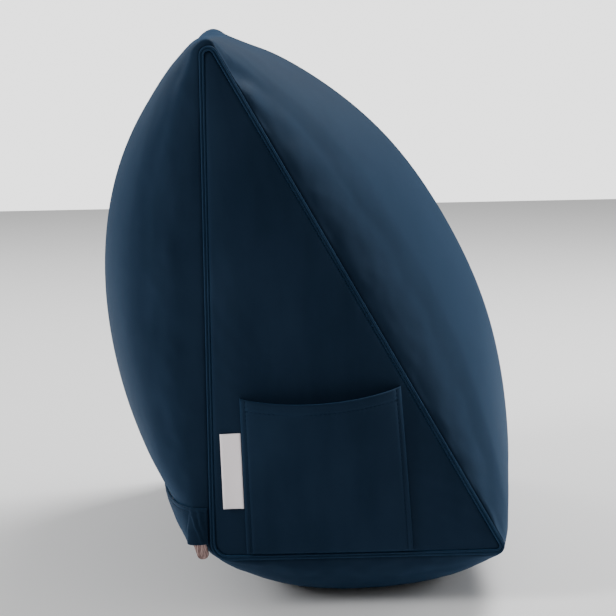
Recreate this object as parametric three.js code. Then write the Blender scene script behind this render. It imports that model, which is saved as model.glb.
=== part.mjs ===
// A wedge-shaped backrest pillow in velvet, standing on its base. Millimetres, +Z up.
// +X is the sloping side that a back leans on, -X the upright side, and Y runs along the length.
// The pocket end looks toward -Y. The origin is the middle of the flat patch that it rests on.

import * as THREE from "three";

const LENGTH = 480; // between the seams of the two end panels
const SEAM_LIFT = 40; // from the surface up to the base seam of an end panel
const PANEL_HEIGHT = 371; // end panel, from its base seam to where its long sides would meet
const PANEL_DEPTH = 207; // end panel, from its back corner to its front corner
const BACK_SEAM_X = -108; // back corner of the end panels
const CLOTH_LIP = 3; // the long faces start this far outside the end seam
const FLOOR_BLEND = 6; // how softly the base dome turns into the flat patch
const RINGS_ALONG = 32;
const GAP = 0.4; // between pieces that are sewn together

// The three corners of the section: their place at the end seams, how far they move by mid length,
// and where the rounding starts along the sides, at the end seams and at mid length.
const CORNERS = {
  top: { x: BACK_SEAM_X, z: SEAM_LIFT + PANEL_HEIGHT, midX: 5.5, midZ: -7, round: 19, midRound: 8 },
  front: { x: BACK_SEAM_X + PANEL_DEPTH, z: SEAM_LIFT, midX: 9.5, midZ: 0, round: 7, midRound: 7 },
  back: { x: BACK_SEAM_X, z: SEAM_LIFT, midX: 5.4, midZ: 0, round: 12, midRound: 12 },
};
const ROUND_ALONG = 3; // how fast the rounding of a corner settles from the end seams inward

// The three long faces in order round the section: how far each domes at mid length, how square
// the dome is along the length, how lean it is across the face at its two sides (less is fuller),
// and its number of points.
const FACES = [
  { from: "top", to: "front", dome: 78, along: 1.6, leanFrom: 0.92, leanTo: 0.67, points: 16 },
  { from: "front", to: "back", dome: 66, along: 1.8, leanFrom: 0.61, leanTo: 0.69, points: 13 },
  { from: "back", to: "top", dome: 83, along: 2.6, leanFrom: 0.7, leanTo: 0.83, points: 16 },
];
const BACK_FACE = FACES[2];
const CORNER_POINTS = 3; // between the last point of one face and the first of the next
const TANGENT_STEP = 0.004; // across a face, to read its direction where a corner begins

// The end panels swell like a small cushion inside their welt.
const PANEL = { bulge: 13, fullness: 0.6, rings: [0.955, 0.88, 0.78, 0.66, 0.52, 0.36, 0.18] };

// The welt lies in a shallow trench along the end seam.
const TRENCH = { edge: 3, floor: 2.85, depth: 1.1 };
const WELT = [
  { across: -2.5, out: -0.7 },
  { across: -2.5, out: 1.0 },
  { across: -1.5, out: 1.9 },
  { across: -0.7, out: 1.7 },
  { across: 0, out: 0.9 },
  { across: 0.7, out: 1.7 },
  { across: 1.5, out: 1.9 },
  { across: 2.5, out: 1.0 },
  { across: 2.5, out: -0.7 },
];

// Side pocket on the near end panel: corners from the back corner of the panel and its base seam.
const POCKET = {
  bottom: { left: 24, right: 141, z: 3.4 },
  mouth: { left: 21, right: 133.5, zLeft: 115, zRight: 121, sag: 4.5 },
  thickness: 2,
  hem: { width: 8.5, step: 1.4, extra: 0.8 },
  gape: 15,
  gapeFullness: 0.7,
  columns: 16,
  rows: 13,
};

// Folded tab sewn into the left seam of the pocket.
const LABEL = { width: 14.5, zLow: 36.5, zHigh: 90.5, thickness: 1.2, lift: 2.2, columns: 4, rows: 7 };

// Cloth flap over the zip, along the lower back: its sewn top and free lower edge above the base
// seam, and how far the free edge stands out from the back seam at the ends and at mid length.
const FLAP = {
  top: 36,
  low: 10.5,
  outEnd: 17.5,
  outMiddle: 37,
  along: 1.15,
  belly: 1,
  thickness: 2,
  rows: 6,
};

// Each end of the flap is folded round to the end seam, over the zip pull. The curve of its lower
// edge is given as how far it stands out from the back seam and past the end seam.
const FOLD = {
  length: 3.2,
  columns: 7,
  seamStart: { out: 3.3, past: 0.5 },
  seamHandle: { out: 7, past: 4.4 },
  cornerHandle: { out: 18.5, past: 4.8 },
};

// Zip slider under the flap at the near end, and the pull that hangs from it.
const SLIDER = { length: 9, width: 6.5, height: 2.6, corner: 1.6, y: -LENGTH / 2 + 6.1, z: 16.7 };
const PULL = {
  length: 16.2,
  width: 8.5,
  thickness: 1.6,
  tilt: 0.3,
  x: -10.6,
  y: -LENGTH / 2 + 0.3,
  z: 15.2,
};

const velvet = new THREE.MeshStandardMaterial({ color: 0x142a3e, roughness: 0.75, metalness: 0 });
const weltVelvet = new THREE.MeshStandardMaterial({ color: 0x122538, roughness: 0.8, metalness: 0 });
const tabWeave = new THREE.MeshStandardMaterial({ color: 0xd8cccb, roughness: 0.7, metalness: 0 });
const bronze = new THREE.MeshStandardMaterial({ color: 0x7a5a55, roughness: 0.35, metalness: 1 });

function nodeMesh(name, geometry, material) {
  const mesh = new THREE.Mesh(geometry, material);
  mesh.name = name;
  return mesh;
}

function indexedGeometry(points, faces) {
  const geometry = new THREE.BufferGeometry();
  geometry.setFromPoints(points);
  geometry.setIndex(faces);
  geometry.computeVertexNormals();
  return geometry;
}

// A skin over rings of points that follow each other. Open ends are fanned shut from a middle point.
function ringSkin(rings, firstMiddle, lastMiddle) {
  const count = rings[0].length;
  const looped = !firstMiddle;
  const points = rings.flat();
  const faces = [];
  const spans = looped ? rings.length : rings.length - 1;
  for (let i = 0; i < spans; i += 1) {
    const next = (i + 1) % rings.length;
    for (let j = 0; j < count; j += 1) {
      const k = (j + 1) % count;
      const a = i * count + j;
      const b = i * count + k;
      const c = next * count + k;
      const d = next * count + j;
      faces.push(a, b, c, a, c, d);
    }
  }
  if (!looped) {
    const first = points.push(firstMiddle) - 1;
    const last = points.push(lastMiddle) - 1;
    const base = (rings.length - 1) * count;
    for (let j = 0; j < count; j += 1) {
      const k = (j + 1) % count;
      faces.push(first, k, j, last, base + j, base + k);
    }
  }
  return indexedGeometry(points, faces);
}

// A closed sheet between two grids of points with the same rows and columns.
function sheetSkin(outer, inner) {
  const rows = outer.length;
  const columns = outer[0].length;
  const points = [...outer.flat(), ...inner.flat()];
  const behind = rows * columns;
  const faces = [];
  const quad = (a, b, c, d) => faces.push(a, b, c, a, c, d);
  for (let i = 0; i < rows - 1; i += 1) {
    for (let j = 0; j < columns - 1; j += 1) {
      const a = i * columns + j;
      quad(a, a + 1, a + columns + 1, a + columns);
      quad(behind + a, behind + a + columns, behind + a + columns + 1, behind + a + 1);
    }
  }
  const rim = [];
  for (let j = 0; j < columns; j += 1) rim.push(j);
  for (let i = 1; i < rows; i += 1) rim.push(i * columns + columns - 1);
  for (let j = columns - 2; j >= 0; j -= 1) rim.push((rows - 1) * columns + j);
  for (let i = rows - 2; i > 0; i -= 1) rim.push(i * columns);
  rim.forEach((a, n) => {
    const b = rim[(n + 1) % rim.length];
    quad(a, behind + a, behind + b, b);
  });
  return indexedGeometry(points, faces);
}

// A corner of the section, v being the place along the length from 0 to 1.
function cornerPoint(name, v) {
  const corner = CORNERS[name];
  const middle = 1 - (2 * v - 1) ** 2;
  return new THREE.Vector2(corner.x + corner.midX * middle, corner.z + corner.midZ * middle);
}

function shoulder(v, power) {
  return (1 - Math.abs(2 * v - 1) ** power) ** (1 / power);
}

// A point of a long face, u being the place across it from 0 to 1.
function facePoint(face, u, v, grow) {
  const start = cornerPoint(face.from, v);
  const end = cornerPoint(face.to, v);
  const chord = end.clone().sub(start);
  const outward = new THREE.Vector2(-chord.y, chord.x).normalize();
  const lean = THREE.MathUtils.lerp(face.leanFrom, face.leanTo, u);
  const dome = face.dome * shoulder(v, face.along) * Math.max(4 * u * (1 - u), 0) ** lean;
  return start.addScaledVector(chord, u).addScaledVector(outward, dome + grow);
}

// Where the rounded corners cut into a face, as places across it.
function faceLimits(face, v) {
  const span = cornerPoint(face.from, v).distanceTo(cornerPoint(face.to, v));
  const [from, to] = [face.from, face.to].map((name) =>
    THREE.MathUtils.lerp(CORNERS[name].round, CORNERS[name].midRound, shoulder(v, ROUND_ALONG)),
  );
  return [from / span, 1 - to / span];
}

// Rounds a corner between the end of one face and the start of the next.
function roundedCorner(face, next, v, grow) {
  const end = faceLimits(face, v)[1];
  const start = faceLimits(next, v)[0];
  const a = facePoint(face, end, v, grow);
  const b = facePoint(next, start, v, grow);
  const leaving = a.clone().sub(facePoint(face, end - TANGENT_STEP, v, grow)).normalize();
  const arriving = facePoint(next, start + TANGENT_STEP, v, grow).sub(b).normalize();
  const turn = Math.acos(THREE.MathUtils.clamp(leaving.dot(arriving), -1, 1));
  const handle = (a.distanceTo(b) * (2 / 3) * Math.tan(turn / 4)) / Math.sin(turn / 2);
  const arc = new THREE.CubicBezierCurve(
    a,
    a.clone().addScaledVector(leaving, handle),
    b.clone().addScaledVector(arriving, -handle),
    b,
  );
  return arc.getPoints(CORNER_POINTS + 1).slice(1, -1);
}

// The base dome is pressed flat where it meets the surface.
function pressFlat(point) {
  const z = point.y;
  if (z < -FLOOR_BLEND) point.y = 0;
  else if (z < FLOOR_BLEND) point.y = (z + FLOOR_BLEND) ** 2 / (4 * FLOOR_BLEND);
  return point;
}

function section(v, grow) {
  const outline = [];
  FACES.forEach((face, n) => {
    const [low, high] = faceLimits(face, v);
    for (let i = 0; i < face.points; i += 1) {
      const u = THREE.MathUtils.lerp(low, high, i / (face.points - 1));
      outline.push(facePoint(face, u, v, grow));
    }
    outline.push(...roundedCorner(face, FACES[(n + 1) % FACES.length], v, grow));
  });
  return outline.map(pressFlat);
}

function ringAt(y, outline) {
  return outline.map((p) => new THREE.Vector3(p.x, y, p.y));
}

// How far the end panel swells at a place on it: a bubble over the triangle of its seams.
function panelRise(x, z) {
  const triangle = new THREE.Triangle(
    ...Object.keys(CORNERS).map((name) => new THREE.Vector3(CORNERS[name].x, CORNERS[name].z, 0)),
  );
  const share = triangle.getBarycoord(new THREE.Vector3(x, z, 0), new THREE.Vector3());
  const bubble = Math.max(share.x * share.y * share.z * 3 ** 3, 0); // 1 where the three shares are equal
  return PANEL.bulge * bubble ** PANEL.fullness;
}

function panelMiddle() {
  const points = Object.keys(CORNERS).map((name) => cornerPoint(name, 0));
  const sides = points.map((_, n) => points[(n + 1) % 3].distanceTo(points[(n + 2) % 3]));
  const around = sides[0] + sides[1] + sides[2];
  const middle = new THREE.Vector2();
  points.forEach((point, n) => middle.addScaledVector(point, sides[n] / around));
  return middle;
}

// Rings of one end, from the middle of the panel out to its trench. The pocket end is -1, the far
// end is 1.
function endRings(end) {
  const y = (end * LENGTH) / 2;
  const middle = panelMiddle();
  const inside = section(0, -TRENCH.edge);
  const panel = [...PANEL.rings, 1].sort((a, b) => a - b).map((scale) =>
    inside.map((p) => {
      const place = middle.clone().lerp(p, scale);
      return new THREE.Vector3(place.x, y + end * panelRise(place.x, place.y), place.y);
    }),
  );
  const floorY = y - end * TRENCH.depth;
  return [...panel, ringAt(floorY, section(0, -TRENCH.floor)), ringAt(floorY, section(0, TRENCH.floor))];
}

function cushionBody() {
  const middle = panelMiddle();
  const rise = panelRise(middle.x, middle.y);
  const rings = [...endRings(-1)];
  for (let i = 0; i <= RINGS_ALONG; i += 1) {
    const v = 0.5 - 0.5 * Math.cos((Math.PI * i) / RINGS_ALONG);
    rings.push(ringAt((v - 0.5) * LENGTH, section(v, CLOTH_LIP)));
  }
  rings.push(...endRings(1).reverse());
  const nearMiddle = new THREE.Vector3(middle.x, -LENGTH / 2 - rise, middle.y);
  const farMiddle = new THREE.Vector3(middle.x, LENGTH / 2 + rise, middle.y);
  return nodeMesh("cushion_body", ringSkin(rings, nearMiddle, farMiddle), velvet);
}

// The welt follows the end seam: the seam itself, grown or shrunk by each point of its section.
function welt(name, end) {
  const order = end < 0 ? WELT : [...WELT].reverse();
  const loops = order.map(({ across, out }) => ringAt(end * (LENGTH / 2 + out), section(0, across)));
  return nodeMesh(name, ringSkin(loops), weltVelvet);
}

function panelPoint(fromBack, fromSeam, out) {
  const x = BACK_SEAM_X + fromBack;
  const z = SEAM_LIFT + fromSeam;
  return new THREE.Vector3(x, -LENGTH / 2 - panelRise(x, z) - out, z);
}

function pocketPlace(a, b) {
  const { bottom, mouth } = POCKET;
  const left = THREE.MathUtils.lerp(bottom.left, mouth.left, b);
  const right = THREE.MathUtils.lerp(bottom.right, mouth.right, b);
  const mouthZ = THREE.MathUtils.lerp(mouth.zLeft, mouth.zRight, a) - mouth.sag * 4 * a * (1 - a);
  return [THREE.MathUtils.lerp(left, right, a), THREE.MathUtils.lerp(bottom.z, mouthZ, b)];
}

function sidePocket() {
  const outer = [];
  const inner = [];
  const height = POCKET.mouth.zLeft - POCKET.bottom.z;
  const hemStart = 1 - POCKET.hem.width / height;
  const rows = [...Array(POCKET.rows - 2).keys()].map((i) => (hemStart * i) / (POCKET.rows - 3));
  rows.push(hemStart + POCKET.hem.step / height, 1);
  rows.forEach((b) => {
    const thickness = POCKET.thickness + (b > hemStart ? POCKET.hem.extra : 0);
    const outerRow = [];
    const innerRow = [];
    for (let j = 0; j < POCKET.columns; j += 1) {
      const a = 0.5 - 0.5 * Math.cos((Math.PI * j) / (POCKET.columns - 1));
      const [x, z] = pocketPlace(a, b);
      const gape = POCKET.gape * (4 * a * (1 - a)) ** POCKET.gapeFullness * b;
      outerRow.push(panelPoint(x, z, GAP + gape + thickness));
      innerRow.push(panelPoint(x, z, GAP + gape));
    }
    outer.push(outerRow);
    inner.push(innerRow);
  });
  return nodeMesh("side_pocket", sheetSkin(outer, inner), velvet);
}

function labelTab() {
  const outer = [];
  const inner = [];
  for (let i = 0; i < LABEL.rows; i += 1) {
    const z = THREE.MathUtils.lerp(LABEL.zLow, LABEL.zHigh, i / (LABEL.rows - 1));
    const share = THREE.MathUtils.inverseLerp(POCKET.bottom.z, POCKET.mouth.zLeft, z);
    const seam = THREE.MathUtils.lerp(POCKET.bottom.left, POCKET.mouth.left, share);
    const outerRow = [];
    const innerRow = [];
    for (let j = 0; j < LABEL.columns; j += 1) {
      const a = j / (LABEL.columns - 1);
      const x = seam - GAP - LABEL.width * (1 - a);
      const lift = GAP + LABEL.lift * (1 - a) ** 2;
      outerRow.push(panelPoint(x, z, lift + LABEL.thickness));
      innerRow.push(panelPoint(x, z, lift));
    }
    outer.push(outerRow);
    inner.push(innerRow);
  }
  return nodeMesh("label_tab", sheetSkin(outer, inner), tabWeave);
}

function flapSewnLine(v) {
  return facePoint(BACK_FACE, FLAP.top / PANEL_HEIGHT, v, CLOTH_LIP + GAP);
}

// Inner side of the flap between its folds. Each place carries the direction of its outer side.
function flapPlace(v, drop) {
  const out = THREE.MathUtils.lerp(FLAP.outEnd, FLAP.outMiddle, (4 * v * (1 - v)) ** FLAP.along);
  const free = new THREE.Vector2(BACK_SEAM_X - out + FLAP.thickness, SEAM_LIFT + FLAP.low);
  const place = flapSewnLine(v).lerp(free, drop);
  const x = place.x - FLAP.belly * Math.sin(Math.PI * drop);
  return {
    inner: new THREE.Vector3(x, (v - 0.5) * LENGTH, place.y),
    outward: new THREE.Vector3(-1, 0, 0),
  };
}

// Inner side of a folded end, t being the place from the end seam (0) round to the flap (1).
function foldPlace(end, t, drop) {
  const corner = new THREE.Vector2(FLAP.outEnd - FLAP.thickness, -FOLD.length);
  const handles = [FOLD.seamStart, FOLD.seamHandle, FOLD.cornerHandle].map(
    ({ out, past }) => new THREE.Vector2(out, past),
  );
  const lower = new THREE.CubicBezierCurve(...handles, corner).getPoint(t);
  const free = new THREE.Vector3(BACK_SEAM_X - lower.x, lower.y, SEAM_LIFT + FLAP.low);
  const v = (FOLD.length / LENGTH) * t * t;
  const line = flapSewnLine(v);
  const sewn = new THREE.Vector3(line.x, FOLD.seamStart.past * (1 - t) - v * LENGTH, line.y);
  const place = sewn.lerp(free, drop);
  const x = place.x - FLAP.belly * Math.sin(Math.PI * drop) * t;
  const turn = (Math.PI / 2) * t;
  return {
    inner: new THREE.Vector3(x, end * (LENGTH / 2 + place.y), place.z),
    outward: new THREE.Vector3(-Math.sin(turn), end * Math.cos(turn), 0),
  };
}

// The flap is stitched along its top edge and hangs from there, a little away from the dome.
function zipFlap() {
  const outer = [];
  const inner = [];
  const first = FOLD.length / LENGTH;
  for (let i = 0; i < FLAP.rows; i += 1) {
    const drop = i / (FLAP.rows - 1);
    const places = [];
    for (let j = 0; j < FOLD.columns; j += 1) places.push(foldPlace(-1, j / FOLD.columns, drop));
    for (let j = 0; j <= RINGS_ALONG; j += 1) {
      const along = 0.5 - 0.5 * Math.cos((Math.PI * j) / RINGS_ALONG);
      places.push(flapPlace(THREE.MathUtils.lerp(first, 1 - first, along), drop));
    }
    for (let j = FOLD.columns - 1; j >= 0; j -= 1) places.push(foldPlace(1, j / FOLD.columns, drop));
    inner.push(places.map((place) => place.inner));
    outer.push(places.map(({ inner: p, outward }) => p.clone().addScaledVector(outward, FLAP.thickness)));
  }
  return nodeMesh("zip_flap", sheetSkin(outer, inner), velvet);
}

function roundedTab(width, length, radius) {
  const shape = new THREE.Shape();
  shape.moveTo(-width / 2 + radius, 0);
  shape.lineTo(width / 2 - radius, 0);
  shape.absarc(width / 2 - radius, -radius, radius, Math.PI / 2, 0, true);
  shape.lineTo(width / 2, -length + radius);
  shape.absarc(width / 2 - radius, -length + radius, radius, 0, -Math.PI / 2, true);
  shape.lineTo(-width / 2 + radius, -length);
  shape.absarc(-width / 2 + radius, -length + radius, radius, -Math.PI / 2, -Math.PI, true);
  shape.lineTo(-width / 2, -radius);
  shape.absarc(-width / 2 + radius, -radius, radius, Math.PI, Math.PI / 2, true);
  return shape;
}

// The slider lies on the back face under the flap, flat against the shoulder of the cushion.
function zipSlider() {
  const shape = roundedTab(SLIDER.length, SLIDER.width, SLIDER.corner);
  const geometry = new THREE.ExtrudeGeometry(shape, {
    depth: SLIDER.height,
    bevelEnabled: false,
    curveSegments: 3,
  });
  geometry.translate(0, SLIDER.width / 2, 0);
  const surface = (dy, dz) => {
    const y = SLIDER.y + dy;
    const p = facePoint(BACK_FACE, (SLIDER.z + dz) / PANEL_HEIGHT, y / LENGTH + 0.5, CLOTH_LIP);
    return new THREE.Vector3(p.x, y, p.y);
  };
  const along = surface(1, 0).sub(surface(-1, 0)).normalize();
  const upward = surface(0, 1).sub(surface(0, -1)).normalize();
  const outward = upward.clone().cross(along).normalize();
  const mesh = nodeMesh("zip_slider", geometry, bronze);
  mesh.quaternion.setFromRotationMatrix(
    new THREE.Matrix4().makeBasis(along, outward.clone().cross(along), outward),
  );
  mesh.position.copy(surface(0, 0)).addScaledVector(outward, GAP);
  return mesh;
}

function zipPull() {
  const shape = roundedTab(PULL.width, PULL.length, PULL.width / 2 - 0.2);
  const geometry = new THREE.ExtrudeGeometry(shape, {
    depth: PULL.thickness,
    bevelEnabled: false,
    curveSegments: 5,
  });
  const mesh = nodeMesh("zip_pull", geometry, bronze);
  mesh.rotation.set(Math.PI / 2, 0, 0);
  const hung = new THREE.Group();
  hung.add(mesh);
  hung.rotation.y = -PULL.tilt;
  hung.position.set(BACK_SEAM_X + PULL.x, PULL.y, SEAM_LIFT + PULL.z);
  return hung;
}

const pillow = new THREE.Group();
pillow.add(cushionBody());
pillow.add(welt("welt_near_end", -1));
pillow.add(welt("welt_far_end", 1));
pillow.add(sidePocket());
pillow.add(labelTab());
pillow.add(zipFlap());
pillow.add(zipSlider());
pillow.add(zipPull());

export default pillow;
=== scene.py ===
import math

import bmesh
import bpy
from mathutils import Matrix, Vector, noise


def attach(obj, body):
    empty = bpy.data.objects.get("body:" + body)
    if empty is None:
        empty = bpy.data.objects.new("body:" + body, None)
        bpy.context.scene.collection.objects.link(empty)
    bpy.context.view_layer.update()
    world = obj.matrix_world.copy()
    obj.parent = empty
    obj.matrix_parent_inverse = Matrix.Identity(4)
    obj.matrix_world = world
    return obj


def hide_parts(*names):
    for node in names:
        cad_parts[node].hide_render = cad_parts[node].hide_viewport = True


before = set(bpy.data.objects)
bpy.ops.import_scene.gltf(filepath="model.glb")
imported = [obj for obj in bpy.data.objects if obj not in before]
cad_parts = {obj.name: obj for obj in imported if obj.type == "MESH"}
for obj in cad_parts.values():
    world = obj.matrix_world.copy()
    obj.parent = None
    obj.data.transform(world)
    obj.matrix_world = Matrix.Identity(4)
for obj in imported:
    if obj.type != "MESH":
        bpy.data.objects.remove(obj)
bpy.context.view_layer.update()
scene = bpy.context.scene
print("frame loaded:", len(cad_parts), "nodes")

# metres; +X is the sloping front, -Y the pocket end, the origin lies under the middle of the base

cushionSizes = {
    "length": 0.480,  # between the seams of the two end panels
    "seamLift": 0.040,  # surface to the base seam
    "panelHeight": 0.371,
    "panelDepth": 0.207,
    "backSeamX": -0.108,
    "clothLip": 0.003,  # long faces lie this far outside the end seam
    "seamLip": 0.0021,  # and their edges are drawn in to this
    "floorBlend": 0.006,  # height over which the faces curve into the flat base
    "ringsAlong": 80,
    "ringEase": 0.8,  # 0 spreads the rings evenly, 1 crowds them most at the ends
    "cornerPoints": 6,
    "cornerStep": 0.004,  # share of a face over which its direction is read
    "cornerEase": 3,  # how squarely the corners' rounding grows along the length
    "panelBulge": 0.013,
    "panelFullness": 0.6,
    "panelRings": 18,
    "panelRingShift": 0.2,
    "panelRingEase": 1.25,
    "trenchEdge": 0.0021,  # half width of the trench under a welt, at its edge and its floor
    "trenchFloor": 0.0019,
    "trenchDepth": 0.0011,
}

# section corners: place at the end seams, shift at mid length, start of the rounding at both
sectionCorners = {
    "top": {
        "x": -0.108, "z": 0.411, "midX": 0.0055, "midZ": -0.007, "round": 0.019, "midRound": 0.008,
    },
    "front": {
        "x": 0.099, "z": 0.040, "midX": 0.0095, "midZ": 0.0, "round": 0.007, "midRound": 0.007,
    },
    "back": {
        "x": -0.108, "z": 0.040, "midX": 0.0054, "midZ": 0.0, "round": 0.012, "midRound": 0.012,
    },
}

# long faces round the section: dome at mid length, squareness along, leanness at both sides
longFaces = [
    {
        "start": "top", "end": "front", "points": 50,
        "dome": 0.078, "along": 1.6, "leanStart": 0.92, "leanEnd": 0.67,
    },
    {
        "start": "front", "end": "back", "points": 36,
        "dome": 0.066, "along": 1.8, "leanStart": 0.61, "leanEnd": 0.69,
    },
    {
        "start": "back", "end": "top", "points": 50,
        "dome": 0.083, "along": 2.6, "leanStart": 0.70, "leanEnd": 0.83,
    },
]
backFace = longFaces[2]


def mix(a, b, t):
    return a + (b - a) * t


def cornerAt(name, v):
    corner = sectionCorners[name]
    middle = 1 - (2 * v - 1) ** 2
    return Vector((corner["x"] + corner["midX"] * middle, corner["z"] + corner["midZ"] * middle))


def shoulder(v, power):
    # 0 at both ends and 1 at mid length, squarer with a higher power
    return max(1 - abs(2 * v - 1) ** power, 0) ** (1 / power)


def faceAt(face, u, v, grow):
    # u runs round the section, v along the pillow, and grow moves the place outward
    start = cornerAt(face["start"], v)
    chord = cornerAt(face["end"], v) - start
    outward = Vector((-chord.y, chord.x)).normalized()
    lean = mix(face["leanStart"], face["leanEnd"], u)
    dome = face["dome"] * shoulder(v, face["along"]) * max(4 * u * (1 - u), 0) ** lean
    return start + chord * u + outward * (dome + grow)


def faceLimits(face, v):
    # where the rounding of the corners ends on this face
    swelling = shoulder(v, cushionSizes["cornerEase"])
    span = (cornerAt(face["start"], v) - cornerAt(face["end"], v)).length
    cuts = []
    for name in (face["start"], face["end"]):
        corner = sectionCorners[name]
        cuts.append(mix(corner["round"], corner["midRound"], swelling) / span)
    return cuts[0], 1 - cuts[1]


def roundedCorner(face, following, v, grow, count):
    step = cushionSizes["cornerStep"]
    high = faceLimits(face, v)[1]
    low = faceLimits(following, v)[0]
    a = faceAt(face, high, v, grow)
    b = faceAt(following, low, v, grow)
    leaving = (a - faceAt(face, high - step, v, grow)).normalized()
    arriving = (faceAt(following, low + step, v, grow) - b).normalized()
    turn = math.acos(max(-1, min(1, leaving.dot(arriving))))
    handle = (a - b).length * (2 / 3) * math.tan(turn / 4) / math.sin(turn / 2)
    p = a + leaving * handle
    q = b - arriving * handle
    arc = []
    for i in range(1, count + 1):
        t = i / (count + 1)
        rest = 1 - t
        arc.append(a * rest ** 3 + p * 3 * t * rest ** 2 + q * 3 * t * t * rest + b * t ** 3)
    return arc


def pressFlat(point):
    blend = cushionSizes["floorBlend"]
    z = point.y
    if z < -blend:
        z = 0
    elif z < blend:
        z = (z + blend) ** 2 / (4 * blend)
    return Vector((point.x, z))


def sectionOutline(v, grow, density=1):
    outline = []
    for n, face in enumerate(longFaces):
        low, high = faceLimits(face, v)
        count = face["points"] * density
        outline += [faceAt(face, mix(low, high, i / (count - 1)), v, grow) for i in range(count)]
        following = longFaces[(n + 1) % len(longFaces)]
        outline += roundedCorner(face, following, v, grow, cushionSizes["cornerPoints"] * density)
    return [pressFlat(p) for p in outline]


def panelRise(x, z):
    s = cushionSizes
    top = (z - s["seamLift"]) / s["panelHeight"]
    front = (x - s["backSeamX"]) / s["panelDepth"]
    bubble = max(27 * top * front * (1 - top - front), 0)
    return s["panelBulge"] * bubble ** s["panelFullness"]


def panelMiddle():
    names = ("top", "front", "back")
    points = [cornerAt(name, 0) for name in names]
    sides = [(points[i - 2] - points[i - 1]).length for i in range(3)]
    return sum((p * (side / sum(sides)) for p, side in zip(points, sides)), Vector((0, 0)))


panelCentre = panelMiddle()


def alongPlace(i, count):
    t = i / count
    return mix(t, 0.5 - 0.5 * math.cos(math.pi * t), cushionSizes["ringEase"])


# materials


def newMaterial(name):
    material = bpy.data.materials.new(name)
    material.use_nodes = True
    tree = material.node_tree
    shader = tree.nodes["Principled BSDF"]
    return material, tree, shader


def addNode(tree, kind, **values):
    node = tree.nodes.new(kind)
    for name, value in values.items():
        setattr(node, name, value)
    return node


def setInputs(node, values):
    for name, value in values.items():
        node.inputs[name].default_value = value


def connect(tree, *links):
    # each link is a node and its output, then a node and its input
    for source, output, target, entry in links:
        tree.links.new(source.outputs[output], target.inputs[entry])


def addRamp(tree, start, end):
    # each end is its place on the ramp and its colour
    ramp = addNode(tree, "ShaderNodeValToRGB")
    for stop, (position, colour) in zip(ramp.color_ramp.elements, (start, end)):
        stop.position = position
        stop.color = (*colour, 1)
    return ramp


pileMix = {
    "mottleDetail": 4,
    "mottleRoughness": 0.55,
    "streakStretch": (1, 0.35, 0.2),
    "streakDetail": 3,
    "fibreDetail": 2,
    "mottleShare": 0.55,
    "streakShare": 0.45,
    "streakHeight": 0.3,
}


def makePileGroup(s):
    # pile of a cut velvet: soft mottling, brushed streaks and single fibres; in the base colour
    # the mottling and streaks are random tone and painted sheen of brushed pile
    group = bpy.data.node_groups.new("velvetPile", "ShaderNodeTree")
    for name in ("Mottle Scale", "Streak Scale", "Fibre Scale"):
        group.interface.new_socket(name=name, in_out="INPUT", socket_type="NodeSocketFloat")
    for name in ("Mottle", "Fibre", "Height"):
        group.interface.new_socket(name=name, in_out="OUTPUT", socket_type="NodeSocketFloat")
    source = addNode(group, "NodeGroupInput")
    result = addNode(group, "NodeGroupOutput")
    place = addNode(group, "ShaderNodeTexCoord")
    mottle = addNode(group, "ShaderNodeTexNoise")
    setInputs(mottle, {"Detail": s["mottleDetail"], "Roughness": s["mottleRoughness"]})
    brushed = addNode(group, "ShaderNodeMapping")
    brushed.inputs["Scale"].default_value = s["streakStretch"]
    streak = addNode(group, "ShaderNodeTexNoise")
    streak.inputs["Detail"].default_value = s["streakDetail"]
    fibre = addNode(group, "ShaderNodeTexNoise")
    fibre.inputs["Detail"].default_value = s["fibreDetail"]
    blend = addNode(group, "ShaderNodeMath", operation="MULTIPLY_ADD")
    blend.inputs[1].default_value = s["streakShare"]
    share = addNode(group, "ShaderNodeMath", operation="MULTIPLY")
    share.inputs[1].default_value = s["mottleShare"]
    height = addNode(group, "ShaderNodeMath", operation="MULTIPLY_ADD")
    height.inputs[1].default_value = s["streakHeight"]
    connect(
        group,
        (place, "Object", mottle, "Vector"),
        (place, "Object", brushed, "Vector"),
        (brushed, "Vector", streak, "Vector"),
        (place, "Object", fibre, "Vector"),
        (source, "Mottle Scale", mottle, "Scale"),
        (source, "Streak Scale", streak, "Scale"),
        (source, "Fibre Scale", fibre, "Scale"),
        (mottle, "Fac", share, 0),
        (streak, "Fac", blend, 0),
        (share, 0, blend, 2),
        (blend, 0, result, "Mottle"),
        (fibre, "Fac", result, "Fibre"),
        (streak, "Fac", height, 0),
        (fibre, "Fac", height, 2),
        (height, 0, result, "Height"),
    )
    return group


def makeVelvet(name, looks, pile):
    material, tree, shader = newMaterial(name)
    effect = addNode(tree, "ShaderNodeGroup")
    effect.node_tree = pile
    setInputs(effect, {
        "Mottle Scale": looks["mottleScale"],
        "Streak Scale": looks["streakScale"],
        "Fibre Scale": looks["fibreScale"],
    })
    # base colour from a darker to a lighter tone by the mottle: random tone and painted sheen of
    # brushed pile
    ramp = addRamp(tree, (looks["shadowAt"], looks["shadow"]), (looks["lightAt"], looks["light"]))
    rough = addNode(tree, "ShaderNodeMapRange")
    setInputs(rough, {"To Min": looks["roughnessLow"], "To Max": looks["roughnessHigh"]})
    bump = addNode(tree, "ShaderNodeBump")
    setInputs(bump, {"Strength": looks["bump"], "Distance": looks["bumpDepth"]})
    connect(
        tree,
        (effect, "Mottle", ramp, "Fac"),
        (ramp, "Color", shader, "Base Color"),
        (effect, "Fibre", rough, "Value"),
        (rough, "Result", shader, "Roughness"),
        (effect, "Height", bump, "Height"),
        (bump, "Normal", shader, "Normal"),
    )
    setInputs(shader, {
        "Sheen Weight": looks["sheen"],
        "Sheen Roughness": looks["sheenRoughness"],
        "Sheen Tint": (*looks["sheenTint"], 1),
        "Specular IOR Level": looks["specular"],
        "Specular Tint": (*looks["specularTint"], 1),
    })
    return material


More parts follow.
